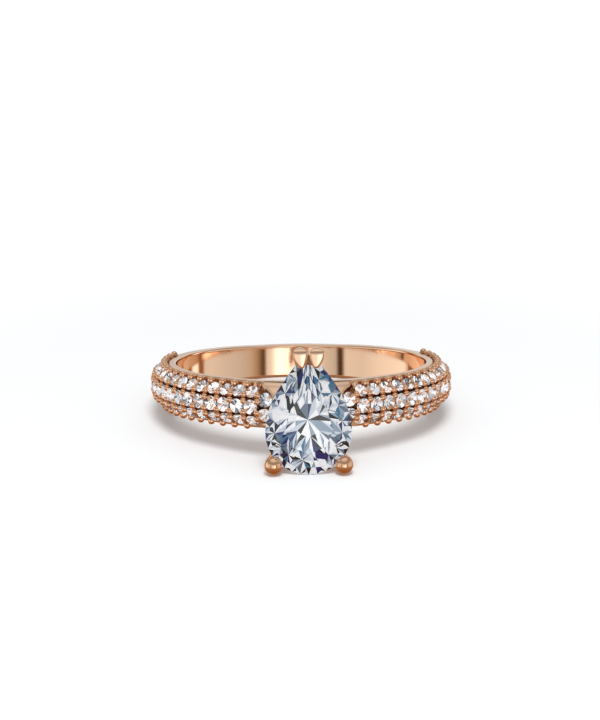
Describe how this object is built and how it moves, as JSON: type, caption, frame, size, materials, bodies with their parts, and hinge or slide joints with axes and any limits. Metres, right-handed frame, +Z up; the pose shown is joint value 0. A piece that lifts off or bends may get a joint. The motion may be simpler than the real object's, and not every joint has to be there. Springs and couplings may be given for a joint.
{
  "type": "engagement ring",
  "caption": "Cathedral engagement ring lying on its side, with a pear-cut centre stone in round and claw prongs and pave rows down its shoulders.",
  "frame": {"origin": "on the table the ring lies on, under the middle of its overall width and length", "axes": "+Z up from the table, -Y towards the side the centre stone faces, +X to the right as seen from there; the finger hole's axis leans about 7.7 degrees from Z towards +Y"},
  "size_m": [0.0198, 0.0222, 0.008],
  "materials": {
    "rose_gold": "rose gold, mirror polished",
    "centre_diamond": "clear pear-cut diamond",
    "pave_diamond": "clear round brilliant diamonds"
  },
  "bodies": {
    "root": {"shank": "rose_gold", "gallery_rail": "rose_gold", "base_rail": "rose_gold", "prong_round_left": "rose_gold", "prong_round_right": "rose_gold", "prong_tip_left": "rose_gold", "prong_tip_right": "rose_gold", "centre_stone": "centre_diamond", "pave_middle_left_01": "pave_diamond", "pave_middle_left_02": "pave_diamond", "pave_middle_left_03": "pave_diamond", "pave_middle_left_04": "pave_diamond", "pave_middle_left_05": "pave_diamond", "pave_middle_left_06": "pave_diamond", "pave_middle_left_07": "pave_diamond", "pave_middle_left_08": "pave_diamond", "pave_middle_left_09": "pave_diamond", "pave_middle_left_10": "pave_diamond", "pave_middle_left_11": "pave_diamond", "pave_middle_left_12": "pave_diamond", "pave_middle_left_13": "pave_diamond", "pave_middle_left_14": "pave_diamond", "pave_middle_left_15": "pave_diamond", "pave_middle_left_16": "pave_diamond", "pave_middle_right_01": "pave_diamond", "pave_middle_right_02": "pave_diamond", "pave_middle_right_03": "pave_diamond", "pave_middle_right_04": "pave_diamond", "pave_middle_right_05": "pave_diamond", "pave_middle_right_06": "pave_diamond", "pave_middle_right_07": "pave_diamond", "pave_middle_right_08": "pave_diamond", "pave_middle_right_09": "pave_diamond", "pave_middle_right_10": "pave_diamond", "pave_middle_right_11": "pave_diamond", "pave_middle_right_12": "pave_diamond", "pave_middle_right_13": "pave_diamond", "pave_middle_right_14": "pave_diamond", "pave_middle_right_15": "pave_diamond", "pave_middle_right_16": "pave_diamond", "pave_row_upper_left": "pave_diamond", "pave_row_lower_left": "pave_diamond", "pave_row_upper_right": "pave_diamond", "pave_row_lower_right": "pave_diamond", "pave_end_upper_left": "pave_diamond", "pave_end_lower_left": "pave_diamond", "pave_end_upper_right": "pave_diamond", "pave_end_lower_right": "pave_diamond"}
  },
  "joints": []
}
